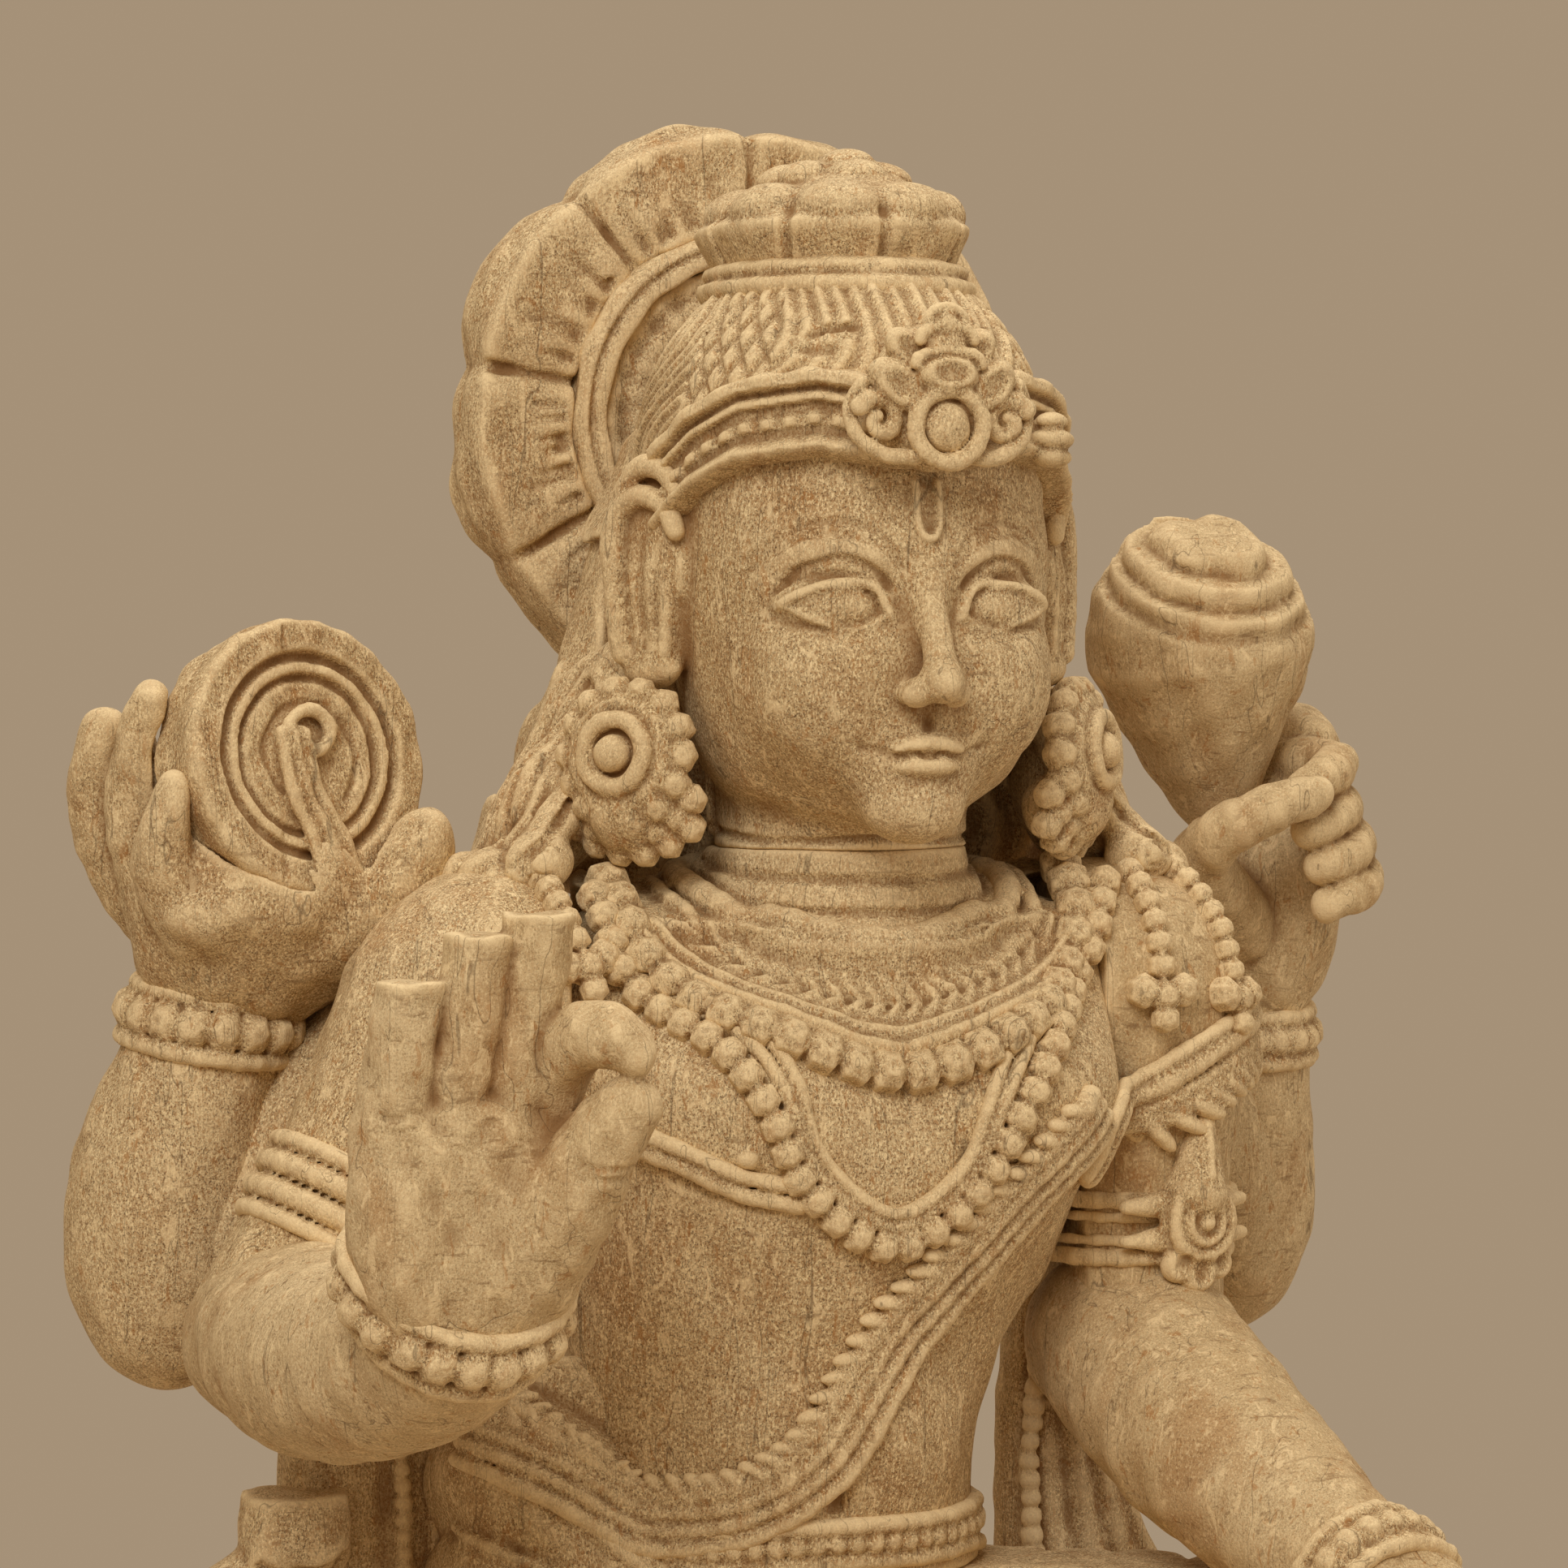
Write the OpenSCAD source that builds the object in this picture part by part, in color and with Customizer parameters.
// Seated four-armed deity figure, carved in pale wood and assembled from blocks.
// Every position and size of the figure is counted in face heights (hairline to
// chin), from the figure's axis at eye level: +X is the figure's left, -Y its front.

/* [Figure] */
// Face height, hairline to chin, the unit of the figure's proportions
face_h = 80; // [60:1:110]
// Height of the eyes above the base, in face heights
eye_height = 4.4; // [4.4:0.05:5]
// Depth of the ornaments' relief, in face heights
relief = 0.05; // [0.03:0.005:0.07]

/* [Halo] */
// Number of petals round the halo
halo_petals = 9; // [7:2:13]
// Outer radius of the halo, in face heights
halo_r = 0.8; // [0.7:0.01:0.85]

/* [Base] */
// Half width of the plinth, in face heights
plinth_x = 2.12; // [2.05:0.01:2.4]
// Half depth of the plinth, in face heights
plinth_y = 1.56; // [1.5:0.01:1.8]
// Height of the plinth, in face heights
plinth_h = 0.3; // [0.2:0.01:0.4]
// Petals in each row of the lotus seat
lotus_petals = 20; // [16:2:24]

/* [Joinery] */
// Diameter of the large dowels, in millimetres
dowel_d = 12; // [8:1:14]
// Diameter of the small dowels, in millimetres
peg_d = 6; // [4:1:8]

/* [Hidden] */

body_back = 0.3;            // the figure's axis stands this far behind the base's centre
neck_z = -0.62;             // joint between head and torso
hip_z = -2.46;              // joint between torso and legs
shoulder_x = [-0.8, 0.64];  // joints between torso and upper arms, right and left
seat_z = -3.16;             // top of the lotus seat
step_h = 0.14;              // height of the step on the plinth
lotus_h = seat_z + eye_height - plinth_h - step_h;
step_inset = 0.1;           // the step's sides, inside the plinth's
lotus_inset = 0.16;         // the lotus seat's rim, inside the plinth's sides
petal_inset = 0.44;         // the petals' roots, inside the plinth's sides
halo_z = 0.51;              // centre of the halo
halo_y = [0.7, 0.88, 0.92]; // front of the disc, back of the disc, back of the petals
halo_disc_r = 0.42;
halo_ring_r = 0.5;
far = 3;                    // further than any side of the figure, for trimming cuts
wood = "burlywood";
dark_wood = "peru";

// A point given in face heights from the figure's axis, in millimetres from the base's centre
function at(p) = [p[0], p[1] + body_back, p[2] + eye_height] * face_h;

// Smooth curve through rows of numbers, with k steps for each span
function blend(p, q, r, s, t) =
    0.5 * (2 * q + (r - p) * t + (2 * p - 5 * q + 4 * r - s) * t * t + (3 * q - p - 3 * r + s) * t * t * t);
function refine(rows, k) = let (last = len(rows) - 1) [
    for (i = [0 : last - 1], j = [0 : k - 1])
        blend(rows[max(i - 1, 0)], rows[i], rows[i + 1], rows[min(i + 2, last)], j / k),
    rows[last]
];
function unit(v) = v / norm(v);
function rounded(c, e) = sign(c) * pow(abs(c), 2 / e);

// Solid through elliptical rings: each row is [x, y, z, half width, half depth] in face heights,
// the width lies towards side, e is the ring's squareness and grow thickens it all round.
// Rings lie square to the path, or level.
module loft(rows, side = [1, 0, 0], n = 12, k = 2, e = 2, grow = 0, level = false) {
    fine = refine(rows, k);
    last = len(fine) - 1;
    middle = [for (r = fine) at(r)];
    points = [
        for (i = [0 : last])
            let (
                d = level ? [0, 0, 1] : unit(middle[min(i + 1, last)] - middle[max(i - 1, 0)]),
                u = unit(side - (side * d) * d),
                v = cross(d, u),
                a = (fine[i][3] + grow) * face_h,
                b = (fine[i][4] + grow) * face_h
            )
            for (j = [0 : n - 1])
                middle[i] + u * a * rounded(cos(360 * j / n), e) + v * b * rounded(sin(360 * j / n), e)
    ];
    polyhedron(points, [
        [for (j = [0 : n - 1]) j],
        [for (j = [n - 1 : -1 : 0]) last * n + j],
        for (i = [0 : last - 1], j = [0 : n - 1])
            let (a = i * n + j, b = i * n + (j + 1) % n)
            each [[a, a + n, b], [b, a + n, b + n]]
    ]);
}

// Box from one corner to the other, both in face heights
module block(low, high) {
    translate(at(low)) cube((high - low) * face_h);
}

// Round rod from one point to another, both in face heights
module rod(a, b, d) {
    v = at(b) - at(a);
    translate(at(a)) rotate([0, acos(v[2] / norm(v)), atan2(v[1], v[0])])
        cylinder(d = d, h = norm(v), $fn = 24);
}

// ---- control rows of the figure ----

torso_rows = [
    [-0.2, 0.06, hip_z, 0.56, 0.42], [-0.18, 0.04, -2.15, 0.5, 0.37], [-0.12, 0.01, -1.8, 0.56, 0.4],
    [-0.05, -0.02, -1.45, 0.7, 0.48], [-0.02, 0.02, -1.18, 0.86, 0.47], [0, 0.07, -0.95, 0.96, 0.39],
    [0, 0.1, -0.8, 0.84, 0.34], [0, 0.09, -0.71, 0.5, 0.37], [0, 0.08, neck_z, 0.38, 0.37]
];
head_rows = [
    [0, 0.08, neck_z, 0.36, 0.36], [0, -0.06, -0.53, 0.36, 0.46], [0, -0.07, -0.42, 0.42, 0.52],
    [0, -0.04, -0.2, 0.47, 0.57], [0, -0.01, 0.05, 0.5, 0.6], [0, 0, 0.35, 0.51, 0.61],
    [0, 0.03, 0.6, 0.42, 0.53], [0, 0.04, 0.74, 0.32, 0.4]
];
front_arm_right = [
    [-0.62, 0.1, -0.98, 0.27, 0.25], [-0.95, 0.09, -0.97, 0.32, 0.31], [-1.1, 0.06, -1.22, 0.28, 0.28],
    [-1.28, 0.03, -1.52, 0.24, 0.25], [-1.46, 0, -1.82, 0.24, 0.25]
];
front_forearm_right = [
    [-1.47, 0.06, -1.8, 0.16, 0.17], [-1.48, -0.05, -1.8, 0.26, 0.26], [-1.44, -0.35, -1.8, 0.27, 0.25],
    [-1.34, -0.66, -1.75, 0.23, 0.22], [-1.29, -0.88, -1.7, 0.19, 0.18]
];
front_arm_left = [
    [0.5, 0.1, -0.98, 0.27, 0.25], [0.79, 0.09, -0.98, 0.32, 0.31], [0.84, 0.07, -1.25, 0.27, 0.28],
    [0.84, 0.07, -1.55, 0.24, 0.25], [0.82, 0.06, -1.88, 0.25, 0.25]
];
front_forearm_left = [
    [0.81, 0.16, -1.88, 0.16, 0.17], [0.81, 0.02, -1.94, 0.27, 0.27], [0.85, -0.38, -2.12, 0.26, 0.25],
    [0.93, -0.75, -2.3, 0.21, 0.2], [1, -1, -2.42, 0.17, 0.16]
];
rear_arm_rows_right = [
    [-0.82, 0.42, -1.02, 0.2, 0.2], [-1.1, 0.48, -1.2, 0.22, 0.22], [-1.4, 0.56, -1.5, 0.23, 0.23],
    [-1.6, 0.6, -1.68, 0.24, 0.24]
];
rear_forearm_rows_right = [
    [-1.64, 0.62, -1.93, 0.09, 0.09], [-1.65, 0.62, -1.78, 0.23, 0.23], [-1.63, 0.6, -1.5, 0.25, 0.25],
    [-1.56, 0.55, -1.2, 0.21, 0.21], [-1.52, 0.52, -0.94, 0.17, 0.17]
];
rear_arm_rows_left = [
    [0.8, 0.42, -1.02, 0.2, 0.2], [1.02, 0.5, -1.2, 0.22, 0.22], [1.24, 0.6, -1.46, 0.23, 0.23],
    [1.38, 0.68, -1.64, 0.23, 0.23]
];
rear_forearm_rows_left = [
    [1.42, 0.72, -1.98, 0.09, 0.09], [1.42, 0.7, -1.8, 0.22, 0.22], [1.42, 0.68, -1.5, 0.23, 0.23],
    [1.42, 0.62, -1.28, 0.19, 0.19], [1.42, 0.58, -1.06, 0.16, 0.16]
];

// ---- base ----

module rounded_slab(x, y, z0, h, r) {
    translate([0, 0, z0 * face_h]) {
        translate([-(x - r), -y, 0] * face_h) cube([2 * (x - r), 2 * y, h] * face_h);
        translate([-x, -(y - r), 0] * face_h) cube([2 * x, 2 * (y - r), h] * face_h);
        for (sx = [-1, 1], sy = [-1, 1])
            translate([sx * (x - r), sy * (y - r), 0] * face_h)
                cylinder(r = r * face_h, h = h * face_h, $fn = 64);
    }
}

module plinth() {
    color(wood) rounded_slab(plinth_x, plinth_y, 0, plinth_h, 0.25);
}

module plinth_step() {
    color(wood) rounded_slab(plinth_x - step_inset, plinth_y - step_inset, plinth_h, step_h, 0.4);
}

// Oval solid of the lotus seat: each row is a share of its height and an inset from its rim
module lotus_oval(rows) {
    x = plinth_x - lotus_inset;
    y = plinth_y - lotus_inset;
    loft([for (r = rows) [0, -body_back, seat_z - (1 - r[0]) * lotus_h, x - r[1], y - r[1]]],
        n = 48, k = 1);
}

module lotus_blank() {
    lotus_oval([[0, 0.12], [0.3, 0.2], [0.5, 0.28], [0.7, 0.2], [1, 0.1]]);
}

module lotus_core() {
    color(wood) difference() {
        lotus_blank();
        seat_dowels();
    }
}

// One row of petals against the core, leaning out from the seat's waist by lean
module petal_row(low, high, lean) {
    x = plinth_x - petal_inset;
    y = plinth_y - petal_inset;
    for (i = [0 : lotus_petals - 1]) {
        t = 360 * (i + (lean > 0 ? 0 : 0.5)) / lotus_petals;
        out = unit([cos(t) / x, sin(t) / y, 0]);
        foot = [cos(t) * x, sin(t) * y - body_back, 0];
        pitch = norm([sin(t) * x, cos(t) * y]) * 2 * PI / lotus_petals;
        loft([
            for (r = [[0, 0.25 * pitch, 0.06], [0.55, 0.44 * pitch, 0.09], [1, 0.12 * pitch, 0.05]])
                let (s = low + (high - low) * r[0])
                [foot[0], foot[1], seat_z - lotus_h + s * lotus_h, r[1], r[2]]
                    + concat(out * (0.02 + abs(lean) * r[0] * r[0]), [0, 0])
        ], side = [-out[1], out[0], 0], n = 6, k = 1);
    }
}

module lotus_petals_upper() {
    color(wood) difference() {
        petal_row(0.52, 0.97, 0.22);
        lotus_blank();
        block([-far, -far, seat_z], [far, far, seat_z + 1]);
    }
}

module lotus_petals_lower() {
    color(wood) difference() {
        petal_row(0.48, 0.03, -0.2);
        lotus_blank();
        block([-far, -far, seat_z - lotus_h - 1], [far, far, seat_z - lotus_h]);
    }
}

// ---- body ----

// Uncut shapes of the large blocks, to which the smaller pieces are coped
module chest_blank() { loft(torso_rows, n = 20, e = 2.3, level = true); }
module head_blank() { loft(head_rows, n = 20, level = true); }
module arm_blank(rows) { loft(rows, side = [0, 1, 0], n = 14, k = 3); }
module forearm_blank(rows) { loft(rows, n = 14, k = 3); }
module hair_blank() {
    loft([
        [0, 0.44, 0.62, 0.3, 0.3], [0, 0.48, 0.2, 0.5, 0.25], [0, 0.48, -0.2, 0.62, 0.21],
        [0, 0.5, -0.5, 0.8, 0.19], [0, 0.5, -0.72, 0.86, 0.13]
    ], n = 16, e = 2.6);
}
module band_blank() { band([0, -0.02, 0.34], 0.52, 0.62, 0, 360, 0.36); }
// Flat plates side by side round the neck, from one shoulder to the other
module collar_blank() {
    stations = [for (t = [-196 : 16 : 12]) [
        [0.45 * cos(t), 0.06 + 0.33 * sin(t), -0.69 + 0.13 * sin(t)],
        [0.64 * cos(t), 0.06 + 0.48 * sin(t), -0.72 + 0.33 * sin(t)]
    ]];
    for (i = [0 : len(stations) - 2])
        hull() for (p = concat(stations[i], stations[i + 1]))
            translate(at(p)) sphere((relief + 0.015) * face_h, $fn = 8);
}

// Flat band round the body: centre and half widths of an oval, and the angles it covers
module band(centre, a, b, from, to, height) {
    step = (to - from) / ceil((to - from) / 18);
    for (t = [from : step : to - step])
        hull() for (u = [t, t + step])
            translate(at(centre + [a * cos(u), b * sin(u), -height / 2]))
                cylinder(r = relief * face_h, h = height * face_h, $fn = 8);
}

module pelvis_and_thighs() {
    loft([[-0.2, 0.06, hip_z, 0.56, 0.42], [-0.1, 0.06, -2.6, 0.76, 0.5],
        [-0.1, 0.04, seat_z, 0.8, 0.58]], n = 14);
    for (s = [-1, 1])
        loft([
            [s * 0.35 - 0.1, 0, -2.8, 0.36, 0.32], [s * 0.9, -0.4, -2.82, 0.37, 0.34],
            [s * 1.42, -0.85, -2.92, 0.32, 0.3], [s * 1.56, -1.02, -2.96, 0.16, 0.16]
        ], side = [0, 0, 1]);
    for (s = [-1, 1])
        loft([
            [s * 1.46, -0.94, -2.96, 0.22, 0.22], [s * 1.1, -1.12, -2.97, 0.23, 0.24],
            [s * 0.5, -1.22, -2.98, 0.21, 0.22], [s * -0.4, -1.16, -2.98, 0.18, 0.18]
        ], side = [0, 0, 1]);
    loft([[-0.05, 0.1, -2.92, 1, 0.28], [-0.05, -0.5, -2.96, 1.1, 0.24], [-0.05, -1.1, -3, 0.8, 0.18]],
        n = 12);
}

module foot_blank() {
    loft([
        [0.1, -1.18, -2.86, 0.12, 0.12], [-0.25, -1.22, -2.8, 0.16, 0.14], [-0.6, -1.2, -2.74, 0.2, 0.13],
        [-0.95, -1.1, -2.7, 0.2, 0.09], [-1.1, -1.04, -2.68, 0.14, 0.06]
    ], side = [0, 1, 0.2], n = 10);
}

// Foot of the folded left leg, on the right shin
module foot_left() {
    color(wood) difference() {
        foot_blank();
        pelvis_and_thighs();
    }
}

module legs() {
    color(wood) difference() {
        pelvis_and_thighs();
        chest_blank();
        block([-far, -far, seat_z - 1], [far, far, seat_z]);
        waist_dowel();
        seat_dowels();
    }
}

module torso() {
    color(wood) difference() {
        chest_blank();
        block([-far, -far, hip_z], [shoulder_x[0], far, 0]);
        block([shoulder_x[1], -far, hip_z], [far, far, 0]);
        waist_dowel();
        neck_dowel();
        shoulder_dowels();
    }
}

module head() {
    color(wood) difference() {
        union() {
            head_blank();
            for (s = [-1, 1])
                loft([
                    [s * 0.5, 0.06, -0.3, 0.05, 0.07], [s * 0.53, 0.06, 0, 0.06, 0.1],
                    [s * 0.53, 0.06, 0.3, 0.05, 0.08]
                ], n = 8);
        }
        neck_dowel();
        halo_dowel();
    }
}

module hair_back() {
    color(wood) difference() {
        hair_blank();
        head_blank();
        chest_blank();
        halo_slab(halo_r, halo_y[0] - 0.04, halo_y[2]);
        halo_dowel();
    }
}

module locks_blank() {
    for (s = [-1, 1])
        loft([
            [s * 0.66, 0.24, -0.3, 0.08, 0.12], [s * 0.76, 0.22, -0.55, 0.12, 0.14],
            [s * 0.84, 0.16, -0.76, 0.14, 0.12], [s * 0.9, 0.1, -0.86, 0.08, 0.06]
        ], n = 10);
}

module hair_locks() {
    color(wood) difference() {
        locks_blank();
        hair_blank();
        chest_blank();
        collar_blank();
        arm_blank(front_arm_right);
        arm_blank(front_arm_left);
    }
}

module bun() {
    color(wood) loft([
        [0, 0.1, 0.82, 0.3, 0.36], [0, 0.12, 0.89, 0.33, 0.42], [0, 0.14, 0.96, 0.34, 0.44],
        [0, 0.08, 1.06, 0.22, 0.3], [0, 0, 1.12, 0.05, 0.07]
    ], n = 16, k = 2);
}

module bun_ring() {
    color(wood) loft([
        [0, 0.06, 0.74, 0.33, 0.4], [0, 0.07, 0.78, 0.35, 0.42], [0, 0.08, 0.82, 0.32, 0.38]
    ], n = 18, k = 2);
}

module headband() {
    color(wood) difference() {
        band_blank();
        head_blank();
        hair_blank();
        for (s = [-1, 1])
            block([s * 0.56 - 0.1, -0.04, -0.1], [s * 0.56 + 0.1, 0.16, 0.34]);
    }
}

module crest_jewel() {
    color(wood) difference() {
        loft([
            [0, -0.62, 0.24, 0.14, 0.13], [0, -0.64, 0.34, 0.23, 0.13], [0, -0.6, 0.56, 0.2, 0.14],
            [0, -0.56, 0.72, 0.06, 0.1]
        ], n = 14, k = 2);
        head_blank();
        band_blank();
    }
}

// ---- halo ----

module halo_slab(r, y0, y1) {
    translate(at([0, y1, halo_z])) rotate([90, 0, 0])
        cylinder(r = r * face_h, h = (y1 - y0) * face_h, $fn = 96);
}

module halo_disc() {
    color(wood) difference() {
        halo_slab(halo_disc_r, halo_y[0], halo_y[1]);
        halo_dowel();
    }
}

module halo_ring() {
    color(wood) difference() {
        halo_slab(halo_ring_r, halo_y[0] - 0.04, halo_y[1]);
        halo_slab(halo_disc_r, halo_y[0] - 0.1, halo_y[1]);
        halo_dowel();
    }
}

// Petals as separate wedges with rounded outer corners, touching the ring
module halo_petals() {
    half = 180 / halo_petals - 0.6;
    corner = 0.16;
    color(wood) difference() {
        for (i = [0 : halo_petals - 1])
            translate(at([0, halo_y[2], halo_z])) rotate([90, 0, 0])
                rotate(90 + (i + 0.5) * 360 / halo_petals)
                linear_extrude((halo_y[2] - halo_y[0]) * face_h)
                polygon(face_h * concat(
                    [for (s = [-1, 1]) (halo_ring_r - 0.02) * [cos(half), s * sin(half)]],
                    [for (t = [0 : 15 : 180])
                        let (a = half * cos(t), r = halo_r - corner + corner * sqrt(sin(t)))
                        r * [cos(a), sin(a)]]
                ));
        halo_slab(halo_ring_r, halo_y[0] - 0.1, halo_y[2] + 0.1);
    }
}

// ---- ornaments ----

// Disc with a raised boss and a bead fringe, hung below the ear
module earring(s) {
    centre = [s * 0.58, -0.02, -0.38];
    r = 0.17;
    color(wood) difference() {
        union() {
            translate(at(centre)) rotate([0, s * 90, 0]) {
                cylinder(r = r * face_h, h = 0.16 * face_h, center = true, $fn = 48);
                translate([0, 0, 0.06 * face_h])
                    cylinder(r = 0.6 * r * face_h, h = 0.06 * face_h, $fn = 48);
            }
            for (t = [0 : 45 : 315])
                translate(at(centre + r * [0, cos(t), sin(t)])) hull() sphere(0.32 * r * face_h, $fn = 8);
        }
        head_blank();
        hair_blank();
        locks_blank();
        chest_blank();
    }
}

module earring_right() { earring(-1); }
module earring_left() { earring(1); }

module collar() {
    color(wood) difference() {
        collar_blank();
        chest_blank();
    }
}

// String of beads along a smooth route over the chest
module beads(route, count, d) {
    fine = refine(route, count);
    spans = len(route) - 1;
    for (i = [0 : spans : len(fine) - 1])
        translate(at(fine[i])) hull() sphere(d = d * face_h, $fn = 6);
}

module bead_necklace() {
    color(wood) difference() {
        beads([
            [-0.7, -0.06, -0.84], [-0.6, -0.3, -0.99], [-0.34, -0.44, -1.14], [0, -0.5, -1.2],
            [0.3, -0.45, -1.13], [0.52, -0.31, -0.98], [0.62, -0.08, -0.84]
        ], 22, 0.125);
        chest_blank();
        collar_blank();
    }
}

long_route = [
    [-0.78, -0.08, -0.82], [-0.73, -0.27, -0.99], [-0.42, -0.44, -1.16], [-0.28, -0.5, -1.42],
    [-0.06, -0.49, -1.6], [0.18, -0.5, -1.42], [0.42, -0.42, -1.16], [0.62, -0.27, -0.99],
    [0.66, -0.08, -0.84]
];

module string_blank(route, r = 0.05) {
    loft([for (p = route) concat(p, [r, r])], side = [0, 1, 0], n = 6);
}

module long_necklace() {
    color(wood) difference() {
        string_blank(long_route);
        chest_blank();
        collar_blank();
        arm_blank(front_arm_right);
        arm_blank(front_arm_left);
    }
}

thread_route = [
    [0.56, -0.24, -1.34], [0.4, -0.42, -1.52], [0.16, -0.41, -1.82], [-0.08, -0.35, -2.16],
    [-0.42, -0.31, -2.32], [-0.72, -0.1, -2.22], [-0.9, 0.06, -2.08]
];

module sacred_thread() {
    color(wood) difference() {
        string_blank(thread_route);
        chest_blank();
        folds_blank();
        arm_blank(front_arm_left);
        string_blank(long_route);
    }
}

module chest_band() {
    color(wood) difference() {
        band([-0.04, -0.02, -1.5], 0.68, 0.48, 0, 238, 0.1);
        chest_blank();
        string_blank(long_route);
        arm_blank(front_arm_left);
    }
}

module waist_belt() {
    color(wood) difference() {
        band([-0.2, 0.06, hip_z + 0.12], 0.56, 0.42, 0, 360, 0.14);
        chest_blank();
        string_blank(thread_route);
        folds_blank();
        pelvis_and_thighs();
    }
}

// Ring of a limb's own section between two spans of its rows
module limb_ring(rows, first, last, side) {
    fine = refine(rows, 3);
    color(wood) difference() {
        loft([for (i = [first : last]) fine[i]], side = side, n = 14, k = 1, grow = relief);
        loft(rows, side = side, n = 14, k = 3);
    }
}

// ---- arms ----

module upper_arm_right() {
    color(wood) difference() {
        arm_blank(front_arm_right);
        block([shoulder_x[0], -far, hip_z], [0, far, 0]);
        shoulder_dowels();
    }
}

module upper_arm_left() {
    color(wood) difference() {
        arm_blank(front_arm_left);
        block([0, -far, hip_z], [shoulder_x[1], far, 0]);
        shoulder_dowels();
    }
}

module forearm_right() {
    color(wood) difference() {
        forearm_blank(front_forearm_right);
        arm_blank(front_arm_right);
    }
}

module forearm_left() {
    color(wood) difference() {
        forearm_blank(front_forearm_left);
        arm_blank(front_arm_left);
        pelvis_and_thighs();
    }
}

module rear_arm(rows, front) {
    color(wood) difference() {
        arm_blank(rows);
        chest_blank();
        arm_blank(front);
        hair_blank();
    }
}

module rear_arm_right() { rear_arm(rear_arm_rows_right, front_arm_right); }
module rear_arm_left() { rear_arm(rear_arm_rows_left, front_arm_left); }

module rear_forearm(rows, upper, front) {
    color(wood) difference() {
        forearm_blank(rows);
        arm_blank(upper);
        arm_blank(front);
    }
}

module rear_forearm_right() {
    rear_forearm(rear_forearm_rows_right, rear_arm_rows_right, front_arm_right);
}
module rear_forearm_left() { rear_forearm(rear_forearm_rows_left, rear_arm_rows_left, front_arm_left); }

// Palm and digits, each a loft through its own rows
module hand(palm, digits, side) {
    loft(palm, side = side, n = 12);
    for (d = digits)
        loft(d, side = side, n = 6);
}

module hand_right_blank() {
    hand(
        [
            [-1.29, -0.88, -1.7, 0.2, 0.18], [-1.3, -0.96, -1.55, 0.29, 0.17],
            [-1.28, -1, -1.35, 0.31, 0.14],
            [-1.28, -1.01, -1.16, 0.27, 0.1]
        ],
        [
            [[-1.48, -1, -1.22, 0.07, 0.08], [-1.47, -1.01, -1, 0.07, 0.07],
            [-1.44, -1.03, -0.87, 0.05, 0.05]],
            [[-1.35, -1, -1.22, 0.08, 0.08], [-1.31, -1.02, -0.95, 0.07, 0.07],
            [-1.27, -1.04, -0.74, 0.05, 0.05]],
            [[-1.21, -1, -1.22, 0.08, 0.08], [-1.18, -1.02, -0.95, 0.07, 0.07],
            [-1.14, -1.04, -0.71, 0.05, 0.05]],
            [
                [-1.1, -0.98, -1.22, 0.07, 0.08], [-1.06, -1.04, -1.03, 0.07, 0.07],
                [-1.0, -1.16, -0.97, 0.07, 0.07], [-0.93, -1.22, -1.04, 0.05, 0.05]
            ],
            [[-1.1, -1.06, -1.5, 0.12, 0.12], [-1, -1.14, -1.3, 0.09, 0.09],
            [-0.93, -1.18, -1.12, 0.06, 0.06]]
        ], [1, 0, 0]);
}

module hand_right() {
    color(wood) difference() {
        hand_right_blank();
        forearm_blank(front_forearm_right);
    }
}

module hand_left_blank() {
    hand(
        [
            [1, -1, -2.42, 0.17, 0.15], [1.07, -1.13, -2.5, 0.22, 0.13], [1.17, -1.32, -2.61, 0.23, 0.11],
            [1.21, -1.38, -2.65, 0.2, 0.09]
        ],
        [
            [[1.34, -1.28, -2.64, 0.07, 0.07], [1.45, -1.4, -2.78, 0.07, 0.07],
            [1.5, -1.46, -2.94, 0.05, 0.05]],
            [[1.26, -1.34, -2.66, 0.07, 0.07], [1.34, -1.5, -2.8, 0.07, 0.07],
            [1.38, -1.56, -2.98, 0.05, 0.05]],
            [[1.16, -1.38, -2.66, 0.07, 0.07], [1.22, -1.55, -2.8, 0.07, 0.07],
            [1.25, -1.62, -2.98, 0.05, 0.05]],
            [[1.05, -1.37, -2.64, 0.07, 0.07], [1.08, -1.54, -2.77, 0.07, 0.07],
            [1.1, -1.62, -2.92, 0.05, 0.05]],
            [[0.95, -1.16, -2.54, 0.07, 0.07], [0.88, -1.34, -2.62, 0.07, 0.07],
            [0.9, -1.48, -2.7, 0.05, 0.05]]
        ], [1, 0, 0]);
}

module hand_left() {
    color(wood) difference() {
        hand_left_blank();
        forearm_blank(front_forearm_left);
        pelvis_and_thighs();
    }
}

discus_at = [-1.38, 0.34, -0.4];
discus_turn = [80, 0, 20];
discus_r = 0.35;
discus_half = 0.11;

module discus() {
    color(wood) translate(at(discus_at)) rotate(discus_turn) difference() {
        rotate_extrude($fn = 96) polygon(face_h * [
            [0, -discus_half], [discus_r - 0.06, -discus_half], [discus_r, -discus_half + 0.05],
            [discus_r, discus_half],
            [0.25, discus_half], [0.24, discus_half - 0.03], [0.2, discus_half - 0.03],
            [0.19, discus_half], [0, discus_half]
        ]);
        translate([0, -discus_r * face_h - 1, 0]) rotate([-90, 0, 0])
            cylinder(d = peg_d, h = 0.16 * face_h + 1, $fn = 24);
    }
}

module discus_blank() {
    translate(at(discus_at)) rotate(discus_turn)
        cylinder(r = discus_r * face_h, h = 2 * discus_half * face_h, center = true, $fn = 96);
}

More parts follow.
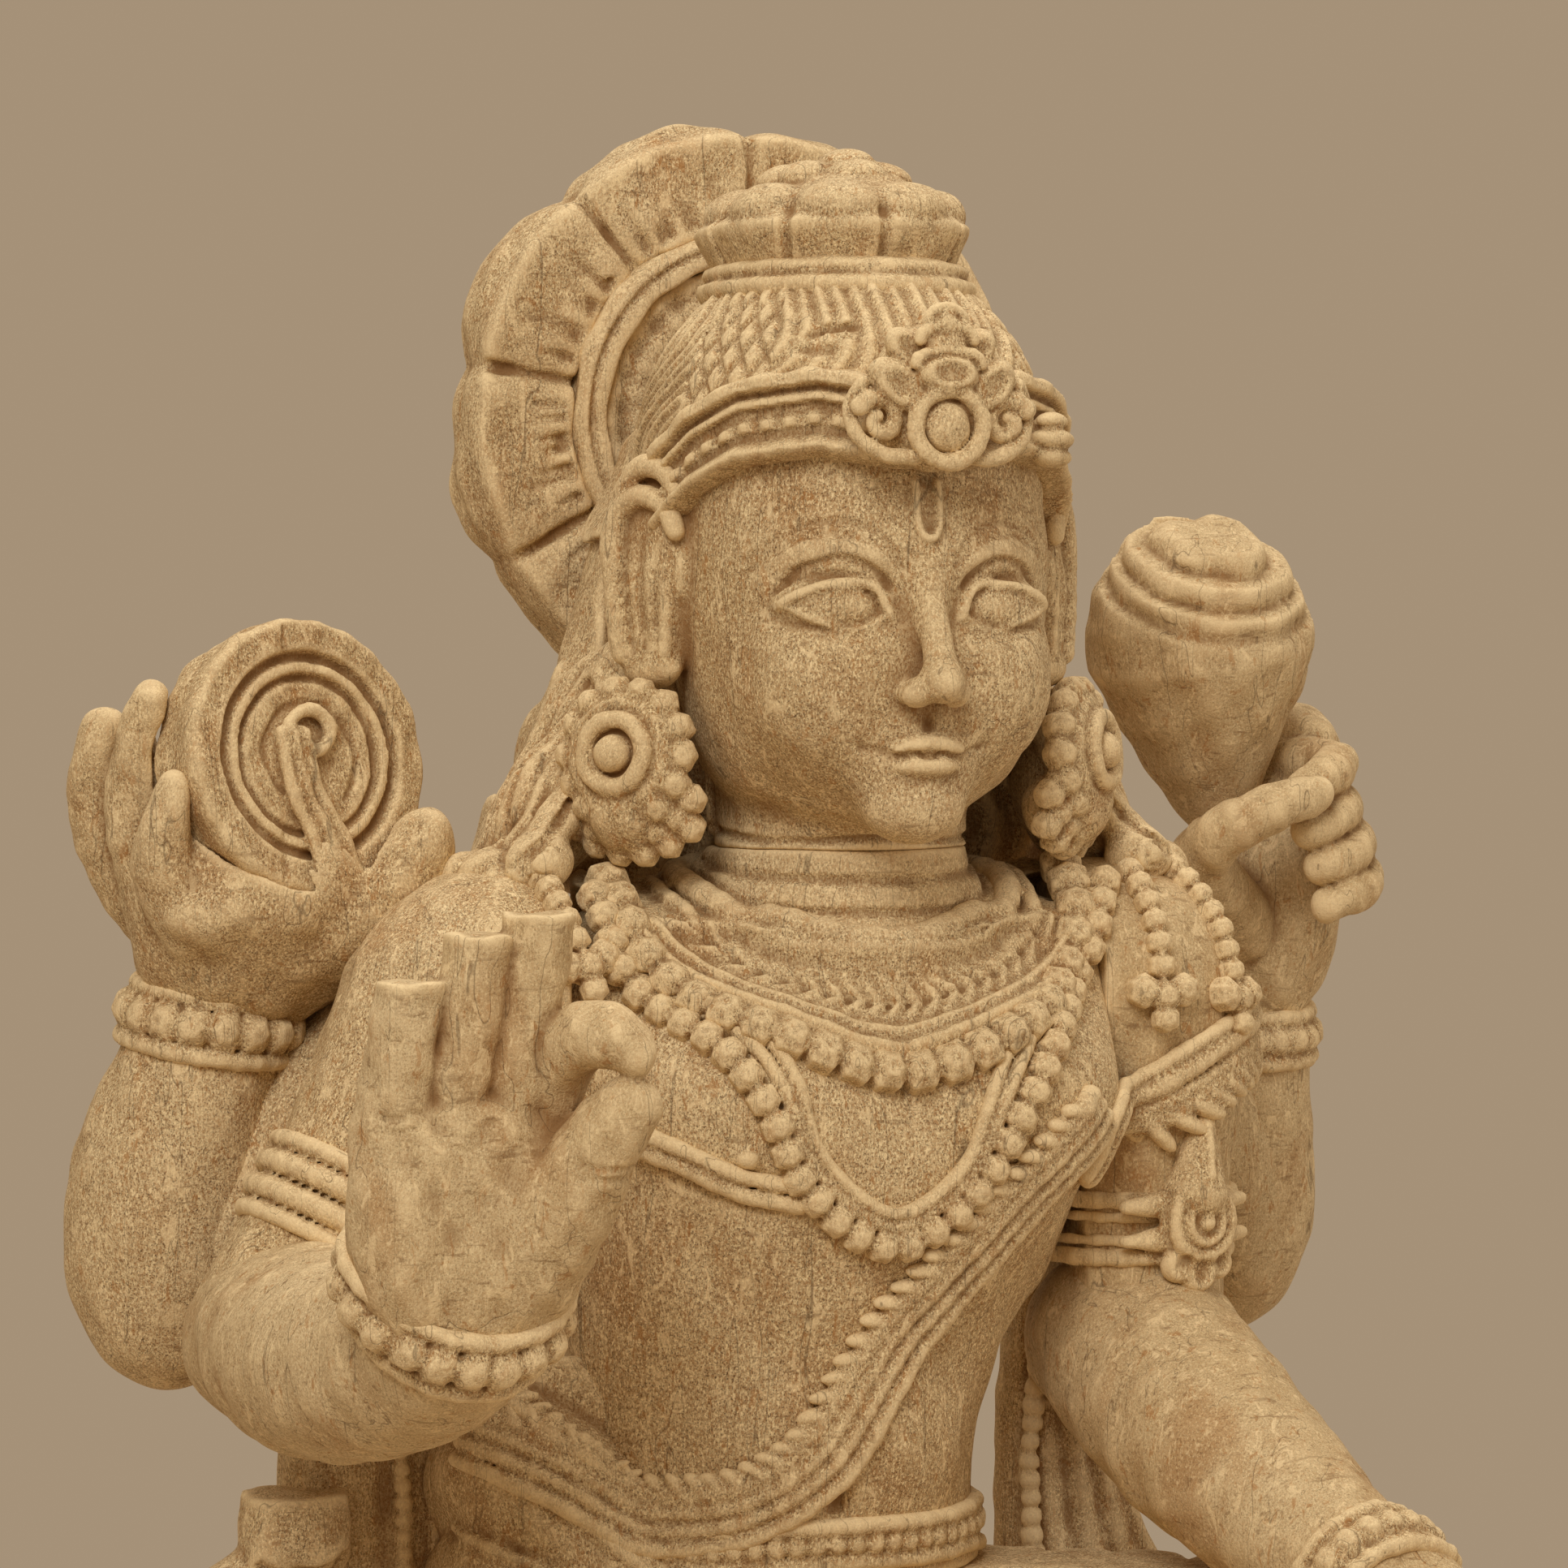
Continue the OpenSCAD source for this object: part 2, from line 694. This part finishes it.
module rear_hand_right() {
    color(wood) difference() {
        hand(
            [[-1.52, 0.52, -0.94, 0.17, 0.16], [-1.47, 0.46, -0.82, 0.3, 0.22],
            [-1.43, 0.4, -0.65, 0.38, 0.26]],
            [
                [[-1.66, 0.56, -0.74, 0.08, 0.07], [-1.8, 0.56, -0.5, 0.06, 0.06],
                [-1.82, 0.5, -0.3, 0.05, 0.05]],
                [[-1.62, 0.44, -0.74, 0.08, 0.07], [-1.76, 0.42, -0.5, 0.06, 0.06],
                [-1.75, 0.36, -0.24, 0.05, 0.05]],
                [[-1.6, 0.34, -0.76, 0.08, 0.07], [-1.74, 0.26, -0.56, 0.06, 0.06],
                [-1.74, 0.18, -0.4, 0.05, 0.05]],
                [[-1.3, 0.34, -0.78, 0.09, 0.08], [-1.14, 0.26, -0.7, 0.07, 0.07],
                [-1.04, 0.24, -0.58, 0.05, 0.05]]
            ], [1, 0, 0]);
        forearm_blank(rear_forearm_rows_right);
        arm_blank(front_arm_right);
        discus_blank();
        discus_peg();
    }
}

conch_foot = [1.26, 0.44, -0.6];
conch_tip = [1.12, 0.36, 0.24];

module conch() {
    axis = at(conch_tip) - at(conch_foot);
    color(wood) difference() {
        translate(at(conch_foot)) rotate([0, acos(axis[2] / norm(axis)), atan2(axis[1], axis[0])])
            rotate_extrude($fn = 96) polygon(face_h * [
                [0, 0], [0.08, 0], [0.17, 0.12], [0.27, 0.3], [0.31, 0.5], [0.29, 0.58], [0.3, 0.6],
                [0.26, 0.68],
                [0.27, 0.7], [0.22, 0.76], [0.22, 0.78], [0.14, 0.83], [0, 0.85]
            ]);
        conch_peg();
    }
}

module rear_hand_left() {
    color(wood) difference() {
        hand(
            [
                [1.42, 0.58, -1.06, 0.15, 0.14], [1.46, 0.55, -0.88, 0.2, 0.19],
                [1.5, 0.52, -0.6, 0.2, 0.18],
                [1.54, 0.52, -0.34, 0.14, 0.11]
            ],
            [
                [[1.56, 0.44, -0.66, 0.07, 0.06], [1.6, 0.26, -0.6, 0.06, 0.06],
                [1.5, 0.1, -0.58, 0.05, 0.05]],
                [[1.58, 0.46, -0.54, 0.07, 0.06], [1.62, 0.26, -0.46, 0.06, 0.06],
                [1.52, 0.1, -0.44, 0.05, 0.05]],
                [[1.58, 0.48, -0.4, 0.07, 0.06], [1.62, 0.28, -0.32, 0.06, 0.06],
                [1.5, 0.12, -0.28, 0.05, 0.05]],
                [[1.56, 0.52, -0.3, 0.07, 0.06], [1.6, 0.36, -0.18, 0.06, 0.06],
                [1.5, 0.2, -0.12, 0.05, 0.05]],
                [[1.36, 0.44, -0.92, 0.09, 0.09], [1.16, 0.26, -0.74, 0.07, 0.06],
                [1.08, 0.16, -0.56, 0.05, 0.05]]
            ], [0, 1, 0]);
        forearm_blank(rear_forearm_rows_left);
        conch();
        conch_peg();
    }
}

module armlet_right() { limb_ring(front_arm_right, 9, 10, [0, 1, 0]); }
module armlet_left() { limb_ring(front_arm_left, 9, 10, [0, 1, 0]); }
module bracelet_right() {
    difference() {
        limb_ring(front_forearm_right, 10, 11, [1, 0, 0]);
        color(wood) hand_right_blank();
    }
}
module bracelet_left() {
    difference() {
        limb_ring(front_forearm_left, 10, 11, [1, 0, 0]);
        color(wood) hand_left_blank();
        color(wood) pelvis_and_thighs();
    }
}
module rear_bracelet_right() { limb_ring(rear_forearm_rows_right, 10, 11, [1, 0, 0]); }
module rear_bracelet_left() { limb_ring(rear_forearm_rows_left, 10, 11, [1, 0, 0]); }

// Slanting garland over the left upper arm
module arm_sash_left() {
    color(wood) difference() {
        loft([
            [0.6, 0.02, -1.36, 0.3, 0.08], [0.84, 0.06, -1.26, 0.34, 0.08], [1.1, 0.1, -1.15, 0.3, 0.08]
        ], side = [0, 1, 0], n = 16);
        arm_blank(front_arm_left);
        chest_blank();
        arm_blank(rear_arm_rows_left);
        block([0, -1, -2], [0.62, 1, -1]);
    }
}

// ---- drapery ----

module sash_blank() {
    loft([
        [-1.24, 0.3, -1.98, 0.24, 0.1], [-1.24, 0.3, -2.4, 0.24, 0.12], [-1.22, 0.3, -2.8, 0.26, 0.14],
        [-1.2, 0.3, seat_z, 0.3, 0.16]
    ], n = 20, e = 3);
}

module sash_right() {
    color(wood) difference() {
        sash_blank();
        forearm_blank(front_forearm_right);
        arm_blank(front_arm_right);
        forearm_blank(rear_forearm_rows_right);
        pelvis_and_thighs();
    }
}

// Folds of the cloth bunched over the right hip, between torso and sash
module folds_blank() {
    loft([
        [-0.84, 0.12, -2.0, 0.22, 0.16], [-0.8, 0.1, -2.2, 0.32, 0.28], [-0.78, 0.1, -2.5, 0.4, 0.36],
        [-0.84, 0.1, -2.8, 0.36, 0.3], [-0.86, 0.12, seat_z, 0.36, 0.26]
    ], n = 20, e = 2.4);
}

module hip_folds() {
    color(wood) difference() {
        folds_blank();
        chest_blank();
        pelvis_and_thighs();
        sash_blank();
        forearm_blank(front_forearm_right);
        seat_dowels();
        block([-0.62, -1, -3.2], [0.5, 1, -1.8]);
    }
}

module sash_knot() {
    color(wood) difference() {
        union() {
            loft([[-1.42, 0.22, -2.16, 0.13, 0.11], [-1.44, 0.22, -2.32, 0.11, 0.1]], n = 12, k = 2);
            loft([[-1.44, 0.22, -2.3, 0.1, 0.09], [-1.52, 0.22, -2.46, 0.24, 0.13],
                [-1.56, 0.22, -2.68, 0.22, 0.12]], n = 16);
        }
        sash_blank();
        forearm_blank(rear_forearm_rows_right);
    }
}

module scarf_left() {
    color(wood) difference() {
        loft([
            [0.72, 0.3, -1.8, 0.1, 0.08], [0.7, 0.32, -2.1, 0.15, 0.09], [0.74, 0.34, -2.5, 0.24, 0.1],
            [0.86, 0.36, -2.9, 0.32, 0.12], [0.92, 0.36, seat_z, 0.36, 0.12]
        ], n = 16, e = 2.6);
        forearm_blank(front_forearm_left);
        arm_blank(front_arm_left);
        forearm_blank(rear_forearm_rows_left);
        chest_blank();
        pelvis_and_thighs();
    }
}

// ---- joinery ----

module halo_dowel() { color(dark_wood) rod([0, 0.3, halo_z], [0, halo_y[2] - 0.1, halo_z], dowel_d); }
module neck_dowel() { color(dark_wood) rod([0, 0.08, neck_z - 0.3], [0, 0.08, neck_z + 0.3], dowel_d); }
module waist_dowel() {
    color(dark_wood) rod([-0.2, 0.06, hip_z - 0.3], [-0.2, 0.06, hip_z + 0.3], dowel_d);
}
module shoulder_dowels() {
    color(dark_wood) for (s = [-1, 1]) rod([s * 0.5, 0.06, -1.02], [s * 1, 0.06, -1.02], dowel_d);
}
module discus_peg() {
    color(dark_wood) translate(at(discus_at)) rotate(discus_turn)
        translate([0, -(discus_r + 0.14) * face_h, 0]) rotate([-90, 0, 0])
        cylinder(d = peg_d, h = 0.3 * face_h, $fn = 24);
}
module conch_peg() {
    up = unit(conch_tip - conch_foot);
    color(dark_wood) rod(conch_foot - 0.2 * up, conch_foot + 0.2 * up, peg_d);
}
module seat_dowels() {
    color(dark_wood) for (x = [-0.5, 0.3]) rod([x, 0.1, seat_z - 0.3], [x, 0.1, seat_z + 0.25], dowel_d);
}

plinth();
plinth_step();
lotus_core();
lotus_petals_upper();
lotus_petals_lower();
legs();
foot_left();
torso();
head();
hair_back();
hair_locks();
bun();
bun_ring();
headband();
crest_jewel();
halo_disc();
halo_ring();
halo_petals();
earring_right();
earring_left();
collar();
bead_necklace();
long_necklace();
sacred_thread();
chest_band();
waist_belt();
upper_arm_right();
forearm_right();
hand_right();
upper_arm_left();
forearm_left();
hand_left();
rear_arm_right();
rear_forearm_right();
rear_hand_right();
rear_arm_left();
rear_forearm_left();
rear_hand_left();
discus();
conch();
armlet_right();
armlet_left();
arm_sash_left();
bracelet_right();
bracelet_left();
rear_bracelet_right();
rear_bracelet_left();
sash_right();
scarf_left();
sash_knot();
hip_folds();
halo_dowel();
neck_dowel();
waist_dowel();
shoulder_dowels();
discus_peg();
conch_peg();
seat_dowels();
